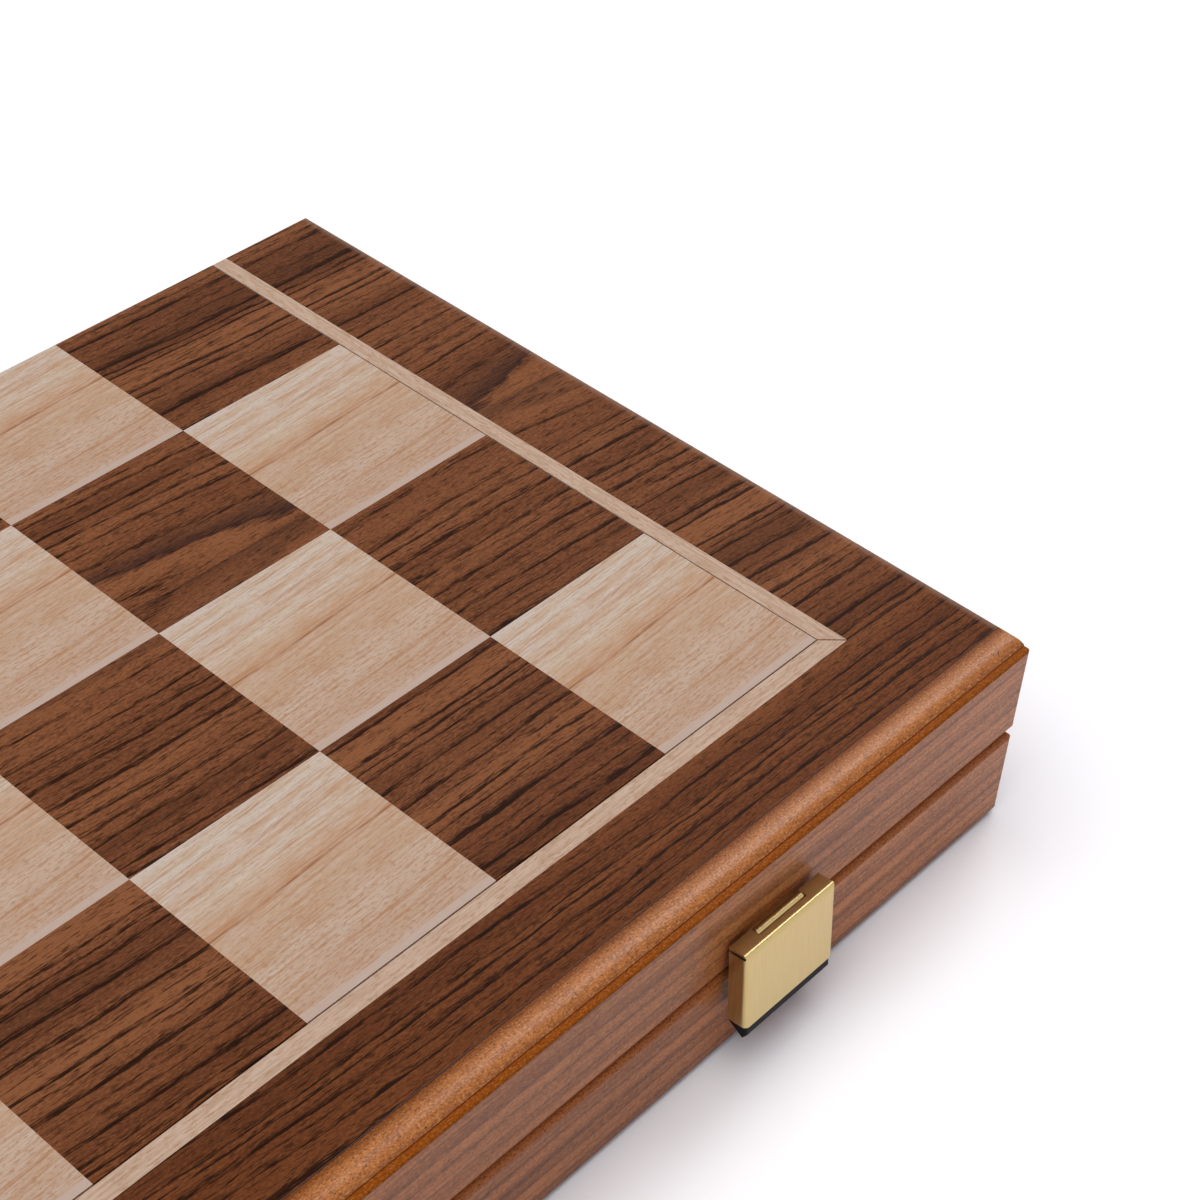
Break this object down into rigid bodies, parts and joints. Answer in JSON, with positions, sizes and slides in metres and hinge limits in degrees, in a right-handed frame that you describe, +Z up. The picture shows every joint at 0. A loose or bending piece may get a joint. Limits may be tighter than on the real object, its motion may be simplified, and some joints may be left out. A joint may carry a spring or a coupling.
{
  "type": "folding chess and backgammon board",
  "caption": "Folding wooden games case: inlaid chess board outside, backgammon field inside, brass hinges at the back and swinging brass clasps at the front.",
  "frame": {"origin": "middle of the lower chess face, on the surface that the shut case lies on", "axes": "+X along the hinge to the right, +Y from the clasps to the hinge, +Z up"},
  "size_m": [0.382, 0.1986, 0.043],
  "materials": {
    "walnut_veneer": "satin lacquer",
    "pale_veneer": "satin lacquer",
    "wenge_veneer": "satin lacquer",
    "fibreboard": "clear lacquer",
    "clasp_brass": "brushed",
    "hinge_brass": "polished",
    "screw_brass": "polished",
    "pin_steel": "drawn wire",
    "black_plastic": "moulded"
  },
  "bodies": {
    "lower_half": {"clasp_keeper_left": "clasp_brass", "clasp_keeper_right": "clasp_brass", "clasp_keeper_screws": "screw_brass", "hinge_pin_left": "pin_steel", "hinge_pin_right": "pin_steel", "lower_border_veneer": "walnut_veneer", "lower_dark_points": "wenge_veneer", "lower_dark_squares": "walnut_veneer", "lower_field_veneer": "walnut_veneer", "lower_front_face_veneer": "walnut_veneer", "lower_front_rail": "fibreboard", "lower_hinge_face_veneer": "walnut_veneer", "lower_hinge_leaf_left": "hinge_brass", "lower_hinge_leaf_right": "hinge_brass", "lower_hinge_rail": "fibreboard", "lower_hinge_screws": "screw_brass", "lower_left_face_veneer": "walnut_veneer", "lower_left_rail": "fibreboard", "lower_pale_points": "pale_veneer", "lower_pale_squares": "pale_veneer", "lower_panel_core": "fibreboard", "lower_right_face_veneer": "walnut_veneer", "lower_right_rail": "fibreboard", "lower_stripe": "pale_veneer", "lower_wall_linings": "walnut_veneer"},
    "upper_half": {"clasp_plate_left": "clasp_brass", "clasp_plate_right": "clasp_brass", "clasp_plate_screws": "screw_brass", "upper_border_veneer": "walnut_veneer", "upper_dark_points": "wenge_veneer", "upper_dark_squares": "walnut_veneer", "upper_field_veneer": "walnut_veneer", "upper_front_face_veneer": "walnut_veneer", "upper_front_rail": "fibreboard", "upper_hinge_face_veneer": "walnut_veneer", "upper_hinge_leaf_left": "hinge_brass", "upper_hinge_leaf_right": "hinge_brass", "upper_hinge_rail": "fibreboard", "upper_hinge_screws": "screw_brass", "upper_left_face_veneer": "walnut_veneer", "upper_left_rail": "fibreboard", "upper_pale_points": "pale_veneer", "upper_pale_squares": "pale_veneer", "upper_panel_core": "fibreboard", "upper_right_face_veneer": "walnut_veneer", "upper_right_rail": "fibreboard", "upper_stripe": "pale_veneer", "upper_wall_linings": "walnut_veneer"},
    "clasp_left": {"clasp_cover_left": "clasp_brass", "clasp_insert_left": "black_plastic", "clasp_pin_left": "pin_steel"},
    "clasp_right": {"clasp_cover_right": "clasp_brass", "clasp_insert_right": "black_plastic", "clasp_pin_right": "pin_steel"}
  },
  "joints": [
    {"name": "lid_fold", "type": "hinge", "parent": "lower_half", "child": "upper_half", "pos_m": [0, 0.09525, 0.0215], "axis": [-1, 0, 0], "range_deg": [0, 180]},
    {"name": "clasp_left_swing", "type": "hinge", "parent": "upper_half", "child": "clasp_left", "pos_m": [-0.1195, -0.0965, 0.0283], "axis": [-1, 0, 0], "range_deg": [0, 85]},
    {"name": "clasp_right_swing", "type": "hinge", "parent": "upper_half", "child": "clasp_right", "pos_m": [0.1195, -0.0965, 0.0283], "axis": [-1, 0, 0], "range_deg": [0, 85]}
  ]
}
